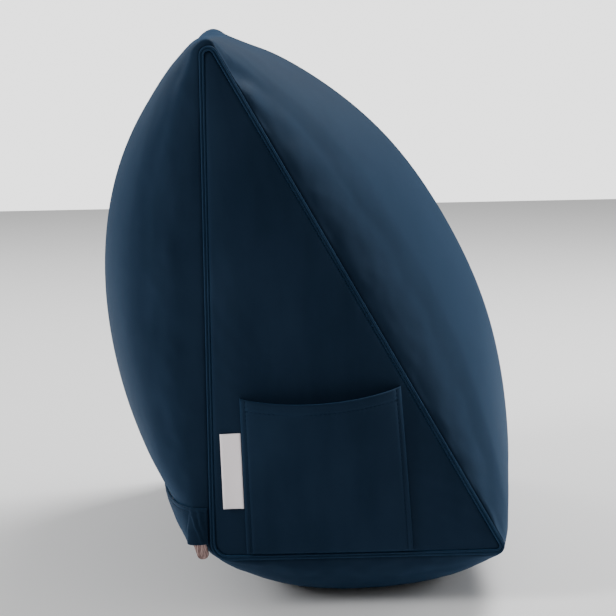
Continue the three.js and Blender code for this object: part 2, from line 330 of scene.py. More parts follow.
def makeTabWeave(looks):
    # satin-woven tab: fine ribs across it, its colour darker in the grooves between them as
    # painted shade
    material, tree, shader = newMaterial("tabWeave")
    place = addNode(tree, "ShaderNodeTexCoord")
    ribs = addNode(tree, "ShaderNodeTexWave", bands_direction="Z")
    setInputs(ribs, {"Scale": looks["ribScale"], "Distortion": looks["ribWobble"]})
    ramp = addRamp(tree, (0, looks["shadow"]), (1, looks["light"]))
    bump = addNode(tree, "ShaderNodeBump")
    setInputs(bump, {"Strength": looks["bump"], "Distance": looks["bumpDepth"]})
    connect(
        tree,
        (place, "Object", ribs, "Vector"),
        (ribs, "Fac", ramp, "Fac"),
        (ramp, "Color", shader, "Base Color"),
        (ribs, "Fac", bump, "Height"),
        (bump, "Normal", shader, "Normal"),
    )
    setInputs(shader, {"Roughness": looks["roughness"], "Sheen Weight": looks["sheen"]})
    return material


def makeZipMetal(looks):
    material, tree, shader = newMaterial("zipMetal")
    place = addNode(tree, "ShaderNodeTexCoord")
    drawn = addNode(tree, "ShaderNodeMapping")
    drawn.inputs["Scale"].default_value = looks["streakStretch"]
    # streaks between the metal's own dull colour and a lighter one; the lighter streaks are
    # painted highlight stripes
    glint = addNode(tree, "ShaderNodeTexNoise")
    setInputs(glint, {"Scale": looks["glintScale"], "Detail": looks["glintDetail"]})
    ramp = addRamp(tree, (looks["dullAt"], looks["dull"]), (looks["glintColourAt"], looks["glintColour"]))
    rough = addNode(tree, "ShaderNodeMapRange")
    setInputs(rough, {"To Min": looks["roughnessLow"], "To Max": looks["roughnessHigh"]})
    connect(
        tree,
        (place, "Object", drawn, "Vector"),
        (drawn, "Vector", glint, "Vector"),
        (glint, "Fac", ramp, "Fac"),
        (ramp, "Color", shader, "Base Color"),
        (glint, "Fac", rough, "Value"),
        (rough, "Result", shader, "Roughness"),
    )
    shader.inputs["Metallic"].default_value = 1.0
    return material


def makeThread(looks):
    material, tree, shader = newMaterial("seamThread")
    place = addNode(tree, "ShaderNodeTexCoord")
    twist = addNode(tree, "ShaderNodeTexNoise")
    twist.inputs["Scale"].default_value = looks["twistScale"]
    ramp = addRamp(tree, (0, looks["shadow"]), (1, looks["light"]))
    connect(
        tree,
        (place, "Object", twist, "Vector"),
        (twist, "Fac", ramp, "Fac"),
        (ramp, "Color", shader, "Base Color"),
    )
    setInputs(shader, {"Roughness": looks["roughness"], "Specular IOR Level": looks["specular"]})
    return material


velvetLooks = {
    "mottleScale": 14.0,
    "streakScale": 60.0,
    "fibreScale": 2600.0,
    # the two tones of the mottle: random tone and painted sheen of brushed pile
    "shadow": (0.0037, 0.0063, 0.0120),
    "shadowAt": 0.28,
    "light": (0.0085, 0.0146, 0.0262),
    "lightAt": 0.74,
    "roughnessLow": 0.53,
    "roughnessHigh": 0.64,
    "bump": 0.3,
    "bumpDepth": 0.0004,
    "sheen": 0.23,
    "sheenRoughness": 0.68,
    "sheenTint": (0.085, 0.26, 0.54),
    "specular": 0.04,
    "specularTint": (0.25, 0.55, 0.90),
}
# the welts are the same velvet with a lighter colour, a painted highlight along their ridges
weltHighlightLooks = {**velvetLooks, "sheen": 0.40, "light": (0.0100, 0.0170, 0.0290)}
tabLooks = {
    "ribScale": 420,
    "ribWobble": 0.6,
    "shadow": (0.82, 0.75, 0.77),
    "light": (0.95, 0.89, 0.91),
    "bump": 0.25,
    "bumpDepth": 0.0002,
    "roughness": 0.55,
    "sheen": 0.2,
}
metalLooks = {
    # the lighter streaks of the pull's colour are painted highlight stripes
    "streakStretch": (1, 1, 0.08),  # streaks run down the pull
    "glintScale": 1300,
    "glintDetail": 3,
    "dull": (0.13, 0.080, 0.075),
    "dullAt": 0.35,
    "glintColour": (0.46, 0.33, 0.31),
    "glintColourAt": 0.7,
    "roughnessLow": 0.28,
    "roughnessHigh": 0.46,
}
threadLooks = {
    "twistScale": 1800,
    "shadow": (0.0020, 0.0075, 0.0190),
    "light": (0.0050, 0.0170, 0.0390),
    "roughness": 0.6,
    "specular": 0.05,
}
pileGroup = makePileGroup(pileMix)
velvet = makeVelvet("navyVelvet", velvetLooks, pileGroup)
weltHighlightVelvet = makeVelvet("weltHighlightVelvet", weltHighlightLooks, pileGroup)
tabWeave = makeTabWeave(tabLooks)
zipMetal = makeZipMetal(metalLooks)
seamThread = makeThread(threadLooks)
print("materials made")


# mesh helpers


def makePiece(name, points, faces, material, smooth=True):
    mesh = bpy.data.meshes.new(name)
    mesh.from_pydata([tuple(p) for p in points], [], faces)
    mesh.materials.append(material)
    mesh.validate()
    piece = bpy.data.objects.new(name, mesh)
    scene.collection.objects.link(piece)
    if smooth:
        mesh.polygons.foreach_set("use_smooth", [True] * len(mesh.polygons))
    return piece


def ringFaces(rings, count, looped=False):
    faces = []
    spans = rings if looped else rings - 1
    for i in range(spans):
        following = (i + 1) % rings
        for j in range(count):
            k = (j + 1) % count
            a = i * count
            b = following * count
            faces.append((a + j, a + k, b + k, b + j))
    return faces


def gridFaces(rows, columns, first, flipped=False):
    faces = []
    for i in range(rows - 1):
        for j in range(columns - 1):
            a = first + i * columns + j
            face = (a, a + 1, a + columns + 1, a + columns)
            faces.append(face[::-1] if flipped else face)
    return faces


def sheetFaces(rows, columns):
    # a closed sheet: front grid, back grid behind it, and the rim between them
    behind = rows * columns
    faces = gridFaces(rows, columns, 0) + gridFaces(rows, columns, behind, flipped=True)
    rim = list(range(columns))
    rim += [i * columns + columns - 1 for i in range(1, rows)]
    rim += [(rows - 1) * columns + j for j in range(columns - 2, -1, -1)]
    rim += [i * columns for i in range(rows - 2, 0, -1)]
    for n, a in enumerate(rim):
        b = rim[(n + 1) % len(rim)]
        faces.append((a, behind + a, behind + b, b))
    return faces


def applyModifiers(piece):
    evaluated = piece.evaluated_get(bpy.context.evaluated_depsgraph_get())
    mesh = bpy.data.meshes.new_from_object(evaluated)
    piece.modifiers.clear()
    old = piece.data
    piece.data = mesh
    bpy.data.meshes.remove(old)
    return piece


def subdivide(piece, levels):
    finer = piece.modifiers.new("finer", "SUBSURF")
    finer.levels = levels
    finer.render_levels = levels
    return applyModifiers(piece)


# cushion: cage, cloth simulation, one subdivision, then puckers

simSizes = {
    "slack": 0.0020,  # the cage starts this much smaller
    "cap": 0.0013,  # most that a point may end up outside the cut shape
    "inwardCap": 0.0016,  # and inside it
    "pressure": 4.0,
    "frames": 20,
    "give": -0.006,  # cloth cut a little too large, so that it puckers at the seams
    "quality": 3,
    "mass": 0.3,
    "stretch": 15,
    "shear": 5,
    "bending": 1.0,
    "restHeight": 0.0004,  # lower points rest on the floor and stay put
    "smoothing": 5,
}

# the cover lies still where the flap is sewn down over the zip
zipHoldSizes = {"aboveSeam": 0.034, "half": 0.006, "fade": 0.02}


def cushionCage():
    s = cushionSizes
    rings = []
    pins = []
    middle = panelCentre
    count = len(sectionOutline(0, 0))

    def addRing(points, pinned):
        if pinned:
            pins.extend(range(len(rings) * count, (len(rings) + 1) * count))
        rings.append(points)

    def endPart(end):
        y = end * s["length"] / 2
        inside = sectionOutline(0, -s["trenchEdge"])
        panel = []
        for n in range(s["panelRings"]):
            left = (s["panelRings"] - 1 - n) / (s["panelRings"] - s["panelRingShift"])
            scale = 1 - left ** s["panelRingEase"]
            ring = [middle.lerp(p, scale) for p in inside]
            panel.append([Vector((p.x, y + end * panelRise(p.x, p.y), p.y)) for p in ring])
        floorY = y - end * s["trenchDepth"]
        trench = []
        for grow in (-s["trenchFloor"], 0.0, s["trenchFloor"]):
            trench.append([Vector((p.x, floorY, p.y)) for p in sectionOutline(0, grow)])
        return panel, trench

    panel, trench = endPart(-1)
    for ring in panel + trench:
        addRing(ring, True)
    for i in range(s["ringsAlong"] + 1):
        v = alongPlace(i, s["ringsAlong"])
        y = (v - 0.5) * s["length"]
        edge = i in (0, s["ringsAlong"])
        lip = s["seamLip"] if edge else s["clothLip"]
        addRing([Vector((p.x, y, p.y)) for p in sectionOutline(v, lip)], edge)
    panel, trench = endPart(1)
    for ring in reversed(panel + trench):
        addRing(ring, True)
    points = [p for ring in rings for p in ring]
    faces = ringFaces(len(rings), count)
    rise = panelRise(middle.x, middle.y)
    for end, first, flip in ((-1, 0, True), (1, (len(rings) - 1) * count, False)):
        centre = len(points)
        pins.append(centre)
        points.append(Vector((middle.x, end * (s["length"] / 2 + rise), middle.y)))
        for j in range(count):
            face = (centre, first + j, first + (j + 1) % count)
            faces.append(face[::-1] if flip else face)
    return points, faces, pins


def zipSeamHold(p):
    # 0 where the flap is sewn down over the zip, 1 away from it
    s = zipHoldSizes
    if p.x > cushionSizes["backSeamX"]:
        return 1
    fromSeam = abs(p.z - cushionSizes["seamLift"] - s["aboveSeam"])
    return min(max(fromSeam - s["half"], 0) / s["fade"], 1)


def puffCloth(piece, pins, s):
    mesh = piece.data
    target = [v.co.copy() for v in mesh.vertices]
    resting = {v.index for v in mesh.vertices if v.co.z < s["restHeight"]}
    pinned = set(pins) | resting
    loose = [v.index for v in mesh.vertices if v.index not in pinned]
    normals = [v.normal.copy() for v in mesh.vertices]
    for i in loose:
        mesh.vertices[i].co = target[i] - normals[i] * s["slack"]
    group = piece.vertex_groups.new(name="seamPins")
    group.add(sorted(pinned), 1.0, "REPLACE")
    cloth = piece.modifiers.new("puff", "CLOTH")
    cloth.settings.quality = s["quality"]
    cloth.settings.mass = s["mass"]
    cloth.settings.tension_stiffness = s["stretch"]
    cloth.settings.compression_stiffness = s["stretch"]
    cloth.settings.shear_stiffness = s["shear"]
    cloth.settings.bending_stiffness = s["bending"]
    cloth.settings.use_pressure = True
    cloth.settings.uniform_pressure_force = s["pressure"]
    cloth.settings.shrink_min = s["give"]
    cloth.settings.vertex_group_mass = "seamPins"
    cloth.settings.effector_weights.gravity = 0
    cloth.collision_settings.use_collision = False
    cloth.point_cache.frame_start = 1
    cloth.point_cache.frame_end = s["frames"]
    for frameNumber in range(1, s["frames"] + 1):
        scene.frame_set(frameNumber)
    evaluated = piece.evaluated_get(bpy.context.evaluated_depsgraph_get())
    moves = [v.co - target[v.index] for v in evaluated.data.vertices]
    piece.modifiers.remove(cloth)
    scene.frame_set(1)
    beside = [[] for _ in mesh.vertices]
    for edge in mesh.edges:
        a, b = edge.vertices
        beside[a].append(b)
        beside[b].append(a)
    for _ in range(s["smoothing"]):
        smoothed = list(moves)
        for i in loose:
            around = sum((moves[k] for k in beside[i]), Vector()) / len(beside[i])
            smoothed[i] = moves[i].lerp(around, 0.5)
        moves = smoothed
    for i in loose:
        move = moves[i]
        cap = s["inwardCap"] if move.dot(normals[i]) < 0 else s["cap"]
        if move.length > cap:
            move = move.normalized() * cap
        place = target[i] + move * zipSeamHold(target[i])
        place.z = max(place.z, 0.0)
        mesh.vertices[i].co = place
    piece.vertex_groups.clear()
    return piece


puckerSizes = {
    "endFrom": 0.0004,  # points nearer the end seams than this lie on the end panels
    "stitchHold": 0.003,  # pleats start this far from a seam
    "seamDepth": 0.0015,  # short pleats along the end seams of the long faces
    "seamReach": 0.024,
    "seamPitch": 62.0,
    "panelDepth": 0.0009,
    "panelReach": 0.016,
    "panelPitch": 14,
    "panelSpan": 0.0766,  # from the middle of a panel to its seams
    "swell": 0.0021,  # broad unevenness of the filling
    "swellPitch": 8.0,
    "swellFade": 0.03,
    "ridgeFrom": 0.33,  # height above which the ridge is pleated and creased
    "ridgeDepth": 0.0014,  # pleats that cross the top ridge
    "ridgeReach": 0.024,
    "ridgePitch": 22.0,
    "ridgeFade": 0.012,
    "creaseHeight": 0.0030,  # crease from the top corner of each end down into the front face
    "creaseWidth": 0.0060,
    "creaseSlant": 0.35,
    "creaseReach": 0.07,
    "creaseFade": 0.002,
    "creasePath": ((-0.097, 0.400), (-0.088, 0.388), (-0.074, 0.377), (-0.058, 0.362)),
    "creaseFromEnd": (0.001, 0.006, 0.022, 0.032),
    "restHeight": 0.002,  # lower points lie flat
    "pocketFrom": (0.004, 0.0),  # part of the near panel under the pocket and the tab
    "pocketTo": (0.145, 0.125),
}


def seamPuckers(p, fromEnd, s):
    fade = math.exp(-fromEnd / s["seamReach"]) * min(fromEnd / s["stitchHold"], 1)
    across = Vector((p.x * s["seamPitch"], p.y * 8, p.z * s["seamPitch"]))
    return s["seamDepth"] * fade * (noise.noise(across) + 0.5 * noise.noise(across * 2.1))


def panelPuckers(p, fromSeam, s):
    away = Vector((p.x, p.z)) - panelCentre
    turn = math.atan2(away.y, away.x)
    pitch = s["panelPitch"]
    around = Vector((math.cos(turn) * pitch, math.sin(turn) * pitch, fromSeam * 12))
    ridge = noise.noise(around)
    hold = min(max(fromSeam - s["stitchHold"], 0) / s["stitchHold"], 1)
    fade = math.exp(-fromSeam / s["panelReach"]) * hold
    return s["panelDepth"] * fade * ridge


def ridgePleats(p, fromEnd, s):
    v = p.y / cushionSizes["length"] + 0.5
    top = cornerAt("top", min(max(v, 0), 1))
    fromRidge = (Vector((p.x, p.z)) - top).length
    wave = noise.noise(Vector((p.y * s["ridgePitch"], p.x * 6, 7.3)))
    wave += 0.5 * noise.noise(Vector((p.y * s["ridgePitch"] * 2.3, p.x * 9, 1.9)))
    fade = math.exp(-fromRidge / s["ridgeReach"]) * min(fromEnd / s["ridgeFade"], 1)
    return s["ridgeDepth"] * wave * fade


def cornerCrease(p, end, s):
    # raised above its line and sunk below it, strongest at the seam
    half = cushionSizes["length"] / 2
    path = []
    for (x, z), fromEnd in zip(s["creasePath"], s["creaseFromEnd"]):
        path.append(Vector((x, end * (half - fromEnd), z)))
    best = None
    for n in range(len(path) - 1):
        a, b = path[n], path[n + 1]
        t = min(max((p - a).dot(b - a) / (b - a).length_squared, 0), 1)
        foot = a.lerp(b, t)
        away = p - foot
        if best is None or away.length < best[0].length:
            best = (away, (n + t) / (len(path) - 1))
    away, share = best
    if away.length > 4 * s["creaseWidth"]:
        return 0
    across = (away.z - away.x * s["creaseSlant"]) / s["creaseWidth"]
    fade = math.exp(-((away.length / s["creaseWidth"]) ** 2) * 0.5)
    return s["creaseHeight"] * across * fade * (1 - share ** 2)


def puckerCushion(piece, s):
    half = cushionSizes["length"] / 2
    mesh = piece.data
    normals = [v.normal.copy() for v in mesh.vertices]
    for v in mesh.vertices:
        p = v.co
        fromEnd = half - abs(p.y)
        move = s["swell"] * noise.noise(p * s["swellPitch"])
        if fromEnd > s["endFrom"]:
            move *= min(fromEnd / s["swellFade"], 1)
            if fromEnd < 5 * s["seamReach"]:
                move += seamPuckers(p, fromEnd, s)
            if p.z > s["ridgeFrom"]:
                move += ridgePleats(p, fromEnd, s)
            if p.z > s["ridgeFrom"] and fromEnd < s["creaseReach"]:
                crease = cornerCrease(p, -1 if p.y < 0 else 1, s)
                move += crease * min(fromEnd / s["creaseFade"], 1)
        else:
            fromSeam = (1 - edgeShare(p.x, p.z)) * s["panelSpan"]
            move *= min(max(fromSeam - s["stitchHold"], 0) / s["swellFade"], 1)
            move += panelPuckers(p, fromSeam, s)
            if pocketHides(p, s):
                move = min(move, 0)
        if p.z < s["restHeight"]:
            move = 0
        v.co = p + normals[v.index] * move * zipSeamHold(p)
        v.co.z = max(v.co.z, 0)


def pocketHides(p, s):
    # the near panel stays behind the cloth that is sewn over it
    if p.y > 0:
        return False
    (left, low), (right, high) = s["pocketFrom"], s["pocketTo"]
    fromBack = p.x - cushionSizes["backSeamX"]
    fromSeam = p.z - cushionSizes["seamLift"]
    return left < fromBack < right and low < fromSeam < high


def panelReaches():
    # outward direction of each panel side and its distance from the middle
    spots = [cornerAt(name, 0) for name in ("top", "front", "back")]
    reaches = []
    for a, b in ((0, 1), (1, 2), (2, 0)):
        side = spots[b] - spots[a]
        outward = Vector((-side.y, side.x)).normalized()
        reaches.append((outward, outward.dot(spots[a] - panelCentre)))
    return reaches


panelSides = panelReaches()


def edgeShare(x, z):
    # 0 in the middle of the end panel, 1 at its seams
    away = Vector((x, z)) - panelCentre
    return max(outward.dot(away) / reach for outward, reach in panelSides)


points, faces, pins = cushionCage()
cushion = makePiece("cushionCover", points, faces, velvet)
print("cushion cage:", len(points), "points")
puffCloth(cushion, pins, simSizes)
print("cushion puffed")
subdivide(cushion, 1)
puckerCushion(cushion, puckerSizes)
print("cushion finished:", len(cushion.data.polygons), "faces")


# welts

weltSizes = {
    "profile": (
        (-1.7, -0.7), (-1.75, 0.5), (-1.68, 1.3), (-1.45, 1.75),
        (-1.1, 1.95), (-0.72, 1.75), (-0.32, 1.1), (0, 0.6),
        (0.32, 1.1), (0.72, 1.75), (1.1, 1.95), (1.45, 1.75),
        (1.68, 1.3), (1.75, 0.5), (1.7, -0.7),
    ),  # across the seam and out of it, millimetres
    "density": 4,
    "uneven": 0.00022,
    "unevenFrom": 0.5,  # height of the profile from which it is uneven, millimetres
    "pitch": 160.0,
}


def makeWelt(name, end, s):
    half = cushionSizes["length"] / 2
    profile = s["profile"] if end < 0 else s["profile"][::-1]
    loops = []
    for across, out in profile:
        loop = []
        for p in sectionOutline(0, across / 1000, density=s["density"]):
            spot = Vector((p.x * s["pitch"], across * 0.5, p.y * s["pitch"]))
            bumpy = s["uneven"] * noise.noise(spot) if out > s["unevenFrom"] else 0
            loop.append(Vector((p.x, end * (half + out / 1000 + bumpy), p.y)))
        loops.append(loop)
    faces = ringFaces(len(loops), len(loops[0]), looped=True)
    return makePiece(name, [p for loop in loops for p in loop], faces, weltHighlightVelvet)


weltNear = makeWelt("weltNearEnd", -1, weltSizes)
weltFar = makeWelt("weltFarEnd", 1, weltSizes)
print("welts made")


# side pocket, from the back corner of the panel and its base seam

pocketSizes = {
    "bottomLeft": 0.024,
    "bottomRight": 0.141,
    "bottomZ": 0.0034,
    "mouthLeft": 0.021,
    "mouthRight": 0.1335,
    "mouthZLeft": 0.115,
    "mouthZRight": 0.121,
    "mouthSag": 0.0045,
    "thickness": 0.0018,
    "hem": 0.0085,
    "hemExtra": 0.0008,
    "hemStep": 0.0004,
    "hemStitch": 0.0009,  # above the hem's lower edge
    "hemGroove": 0.7,
    "gape": 0.015,
    "gapeFullness": 0.7,
    "gap": 0.0004,
    "seamBand": 0.0036,  # from the side edge in to its stitching
    "groove": 0.0007,
    "grooveWidth": 0.0011,
    "edgeRound": 0.0006,
    "soft": 0.0028,  # slack of the cloth between its seams
    "columnEase": 0.6,
    "seamSpan": (0.02, 0.985),  # part of a side and of the hem that its stitches take
    "hemSpan": (0.045, 0.955),
    "stitchOut": 0.0001,
    "stitchSteps": 80,
    "columns": 110,
    "rows": 110,
}


def panelPoint(fromBack, fromSeam, out):
    s = cushionSizes
    x = s["backSeamX"] + fromBack
    z = s["seamLift"] + fromSeam
    return Vector((x, -s["length"] / 2 - panelRise(x, z) - out, z))


def pocketPlace(a, b, s):
    left = mix(s["bottomLeft"], s["mouthLeft"], b)
    right = mix(s["bottomRight"], s["mouthRight"], b)
    mouthZ = mix(s["mouthZLeft"], s["mouthZRight"], a) - s["mouthSag"] * 4 * a * (1 - a)
    return mix(left, right, a), mix(s["bottomZ"], mouthZ, b)


def pocketOut(a, b, s):
    gape = s["gape"] * max(4 * a * (1 - a), 0) ** s["gapeFullness"] * b
    return s["gap"] + gape


def groove(distance, s):
    return s["groove"] * math.exp(-((distance / s["grooveWidth"]) ** 2))


def makePocket(s):
    width = s["bottomRight"] - s["bottomLeft"]
    height = s["mouthZLeft"] - s["bottomZ"]
    hemLine = 1 - s["hem"] / height
    front = []
    back = []
    for i in range(s["rows"]):
        b = i / (s["rows"] - 1)
        for j in range(s["columns"]):
            t = j / (s["columns"] - 1)
            a = mix(t, 0.5 - 0.5 * math.cos(math.pi * t), s["columnEase"])
            x, z = pocketPlace(a, b, s)
            out = pocketOut(a, b, s)
            thick = s["thickness"]
            fromHem = (b - hemLine) * height
            thick += s["hemExtra"] / (1 + math.exp(-fromHem / s["hemStep"]))
            fromLeft = abs(a * width - s["seamBand"])
            fromRight = abs((1 - a) * width - s["seamBand"])
            thick -= groove(fromLeft, s) + groove(fromRight, s)
            thick -= groove(fromHem - s["hemStitch"], s) * s["hemGroove"]
            edge = min(a * width, (1 - a) * width, (1 - b) * height)
            thick -= s["edgeRound"] * math.exp(-edge / s["edgeRound"])
            soft = s["soft"] * noise.noise(Vector((x * 40, z * 18, 3.1))) * min(a, 1 - a, b)
            front.append(panelPoint(x, z, out + thick + soft))
            back.append(panelPoint(x, z, out + min(soft, 0.0)))
    return makePiece("sidePocket", front + back, sheetFaces(s["rows"], s["columns"]), velvet)


pocket = makePocket(pocketSizes)
print("pocket made")


# folded tab, caught in the left seam of the pocket

tabSizes = {
    "width": 0.0145,
    "zLow": 0.0365,
    "zHigh": 0.0905,
    "thickness": 0.0010,
    "thinning": 0.45,  # of its edges
    "edgeRound": 0.0005,
    "endThick": 0.0002,  # its ends are thinned less than its sides
    "lift": 0.0022,
    "rise": 0.0006,
    "wave": 0.0008,
    "columns": 24,
    "rows": 60,
}


def makeTab(s, pocketSpec):
    front = []
    back = []
    for i in range(s["rows"]):
        z = mix(s["zLow"], s["zHigh"], i / (s["rows"] - 1))
        share = (z - pocketSpec["bottomZ"]) / (pocketSpec["mouthZLeft"] - pocketSpec["bottomZ"])
        seam = mix(pocketSpec["bottomLeft"], pocketSpec["mouthLeft"], share)
        for j in range(s["columns"]):
            a = j / (s["columns"] - 1)
            x = seam - pocketSpec["gap"] - s["width"] * (1 - a)
            rise = s["rise"] * (1 - a) * ((z - s["zLow"]) / (s["zHigh"] - s["zLow"]))
            lift = pocketSpec["gap"] + s["lift"] * (1 - a) ** 2
            lift += s["wave"] * (1 - a) * noise.noise(Vector((x * 60, z * 35, 0.4)))
            edge = min(a, 1 - a) * s["width"]
            ends = min(z - s["zLow"], s["zHigh"] - z)
            nearest = min(edge, ends + s["endThick"])
            thick = s["thickness"] * (1 - s["thinning"] * math.exp(-nearest / s["edgeRound"]))
            front.append(panelPoint(x, z - rise, lift + thick))
            back.append(panelPoint(x, z - rise, lift))
    return makePiece("foldedTab", front + back, sheetFaces(s["rows"], s["columns"]), tabWeave)


tab = makeTab(tabSizes, pocketSizes)
print("tab made")


# flap over the zip

flapSizes = {
    "top": 0.036,  # sewn line and free edge, above the base seam
    "low": 0.0105,
    "outEnd": 0.0175,  # free edge out from the back seam, at the ends and at mid length
    "outMiddle": 0.037,
    "along": 1.15,
    "belly": 0.001,
    "thickness": 0.0018,
    "gap": 0.0004,
    "wave": 0.0008,
    "wavePitch": 26,
    "stitchDrop": 0.003,
    "stitchSink": 0.0006,
    "stitchSkip": 8,  # columns without stitches at both ends
    "groove": 0.0007,
    "grooveWidth": 0.0011,
    "edgeRound": 0.0006,
    "inward": 0.0004,  # most that a wave takes off the cloth's outside
    "columns": 240,
    "rows": 40,
}

# each end is folded round to the end seam, over the zip pull
foldSizes = {
    "length": 0.0032,
    "columns": 36,
    "seamStart": (0.0033, 0.0005),  # out from the back seam, past the end seam
    "seamHandle": (0.0070, 0.0044),
    "cornerHandle": (0.0185, 0.0048),
    "pucker": 0.00102,
    "puckerReach": 0.02,
    "puckerSlope": 0.75,
    "puckerPitch": 190,
}


def flapSewnLine(v, s):
    share = s["top"] / cushionSizes["panelHeight"]
    return faceAt(backFace, share, v, cushionSizes["clothLip"] + s["gap"])


def flapPlace(v, drop, s):
    out = mix(s["outEnd"], s["outMiddle"], (4 * v * (1 - v)) ** s["along"])
    x = cushionSizes["backSeamX"] - out + s["thickness"]
    free = Vector((x, cushionSizes["seamLift"] + s["low"]))
    place = flapSewnLine(v, s).lerp(free, drop)
    x = place.x - s["belly"] * math.sin(math.pi * drop)
    return Vector((x, (v - 0.5) * cushionSizes["length"], place.y)), Vector((-1, 0, 0))


def foldPlace(end, t, drop, s, fold):
    ends = [Vector(fold[name]) for name in ("seamStart", "seamHandle", "cornerHandle")]
    ends.append(Vector((s["outEnd"] - s["thickness"], -fold["length"])))
    weights = ((1 - t) ** 3, 3 * t * (1 - t) ** 2, 3 * t * t * (1 - t), t ** 3)
    lower = sum((p * w for p, w in zip(ends, weights)), Vector((0, 0)))
    z = cushionSizes["seamLift"] + s["low"]
    free = Vector((cushionSizes["backSeamX"] - lower.x, lower.y, z))
    v = fold["length"] / cushionSizes["length"] * t * t
    line = flapSewnLine(v, s)
    sewn = Vector((line.x, fold["seamStart"][1] * (1 - t) - v * cushionSizes["length"], line.y))
    place = sewn.lerp(free, drop)
    x = place.x - s["belly"] * math.sin(math.pi * drop) * t
    turn = math.pi / 2 * t
    y = end * (cushionSizes["length"] / 2 + place.y)
    return Vector((x, y, place.z)), Vector((-math.sin(turn), end * math.cos(turn), 0))


def flapRow(drop, s, fold):
    # places from the near end seam to the far one, each with how far it is round the fold
    first = fold["length"] / cushionSizes["length"]
    row = []
    for j in range(fold["columns"]):
        t = j / fold["columns"]
        row.append((*foldPlace(-1, t, drop, s, fold), t))
    for j in range(s["columns"]):
        v = mix(first, 1 - first, alongPlace(j, s["columns"] - 1))
        row.append((*flapPlace(v, drop, s), 1))
    for j in range(fold["columns"] - 1, -1, -1):
        t = j / fold["columns"]
        row.append((*foldPlace(1, t, drop, s, fold), t))
    return row


# slanted pulls on the folded ends, each as its distance out from the back seam
# at the sewn line and at the free edge
flapPulls = {
    "paths": ((0.0135, 0.0058), (0.0088, 0.0036)),
    "height": 0.0013,
    "width": 0.0013,
    "reach": 0.009,
}


def flapPull(out, drop, fromEnd, s):
    rise = 0
    for start, finish in s["paths"]:
        off = out - mix(start, finish, drop)
        rise = max(rise, s["height"] * math.exp(-((off / s["width"]) ** 2)))
    return rise * math.sin(math.pi * drop) ** 0.5 * math.exp(-((fromEnd / s["reach"]) ** 2))


def flapPucker(p, drop, s, fold):
    # small waves of the free edge, and slanted pulls where the ends are gathered into the seam
    wave = s["wave"] * drop * noise.noise(Vector((p.y * s["wavePitch"], drop * 2, 5)))
    fromEnd = abs(cushionSizes["length"] / 2 - abs(p.y))
    out = cushionSizes["backSeamX"] - p.x
    slope = out * fold["puckerSlope"] + (p.z - cushionSizes["seamLift"])
    slant = noise.noise(Vector((slope * fold["puckerPitch"], out * 30, 2)))
    fade = math.exp(-fromEnd / fold["puckerReach"]) * math.sin(math.pi * min(drop * 0.9 + 0.05, 1))
    return wave + fold["pucker"] * slant * fade + flapPull(out, drop, fromEnd, flapPulls)


def makeFlap(s, fold):
    height = s["top"] - s["low"]
    outer = []
    inner = []
    for i in range(s["rows"]):
        drop = i / (s["rows"] - 1)
        row = flapRow(drop, s, fold)
        for p, outward, t in row:
            wave = flapPucker(p, drop, s, fold) * min(t * 4, 1)
            edge = min(drop, 1 - drop) * height
            thick = s["thickness"] - groove(drop * height - s["stitchDrop"], s)
            thick -= s["edgeRound"] * math.exp(-edge / s["edgeRound"])
            outer.append(p + outward * (thick + max(wave, -s["inward"])))
            inner.append(p + outward * max(wave, 0))
    return makePiece("zipFlap", outer + inner, sheetFaces(s["rows"], len(row)), velvet)


flap = makeFlap(flapSizes, foldSizes)
print("flap made")


# stitches by Geometry Nodes

stitchSizes = {
    "pitch": 0.0032,
    "length": 0.0024,
    "radius": 0.00028,
    "segments": 8,
    "rings": 6,
}


def makeStitchTree(s):
    # a bead at each pitch along the curve, drawn out to the stitch's length
    tree = bpy.data.node_groups.new("stitchRow", "GeometryNodeTree")
    face = tree.interface
    face.new_socket(name="Geometry", in_out="INPUT", socket_type="NodeSocketGeometry")
    for name in ("Pitch", "Stitch Length", "Thread Radius"):
        face.new_socket(name=name, in_out="INPUT", socket_type="NodeSocketFloat")
    face.new_socket(name="Thread", in_out="INPUT", socket_type="NodeSocketMaterial")
    face.new_socket(name="Geometry", in_out="OUTPUT", socket_type="NodeSocketGeometry")
    source = addNode(tree, "NodeGroupInput")
    result = addNode(tree, "NodeGroupOutput")
    spots = addNode(tree, "GeometryNodeCurveToPoints", mode="LENGTH")
    bead = addNode(tree, "GeometryNodeMeshUVSphere")
    setInputs(bead, {"Segments": s["segments"], "Rings": s["rings"], "Radius": 1.0})
    half = addNode(tree, "ShaderNodeMath", operation="MULTIPLY")
    half.inputs[1].default_value = 0.5
    size = addNode(tree, "ShaderNodeCombineXYZ")
    placed = addNode(tree, "GeometryNodeInstanceOnPoints")
    real = addNode(tree, "GeometryNodeRealizeInstances")
    smooth = addNode(tree, "GeometryNodeSetShadeSmooth")
    paint = addNode(tree, "GeometryNodeSetMaterial")
    connect(
        tree,
        (source, "Geometry", spots, "Curve"),
        (source, "Pitch", spots, "Length"),
        (source, "Stitch Length", half, 0),
        (source, "Thread Radius", size, "X"),
        (source, "Thread Radius", size, "Y"),
        (half, 0, size, "Z"),
        (spots, "Points", placed, "Points"),
        (spots, "Rotation", placed, "Rotation"),
        (bead, "Mesh", placed, "Instance"),
        (size, "Vector", placed, "Scale"),
        (placed, "Instances", real, "Geometry"),
        (real, "Geometry", smooth, "Geometry"),
        (smooth, "Geometry", paint, "Geometry"),
        (source, "Thread", paint, "Material"),
        (paint, "Geometry", result, "Geometry"),
    )
    return tree


stitchTree = makeStitchTree(stitchSizes)


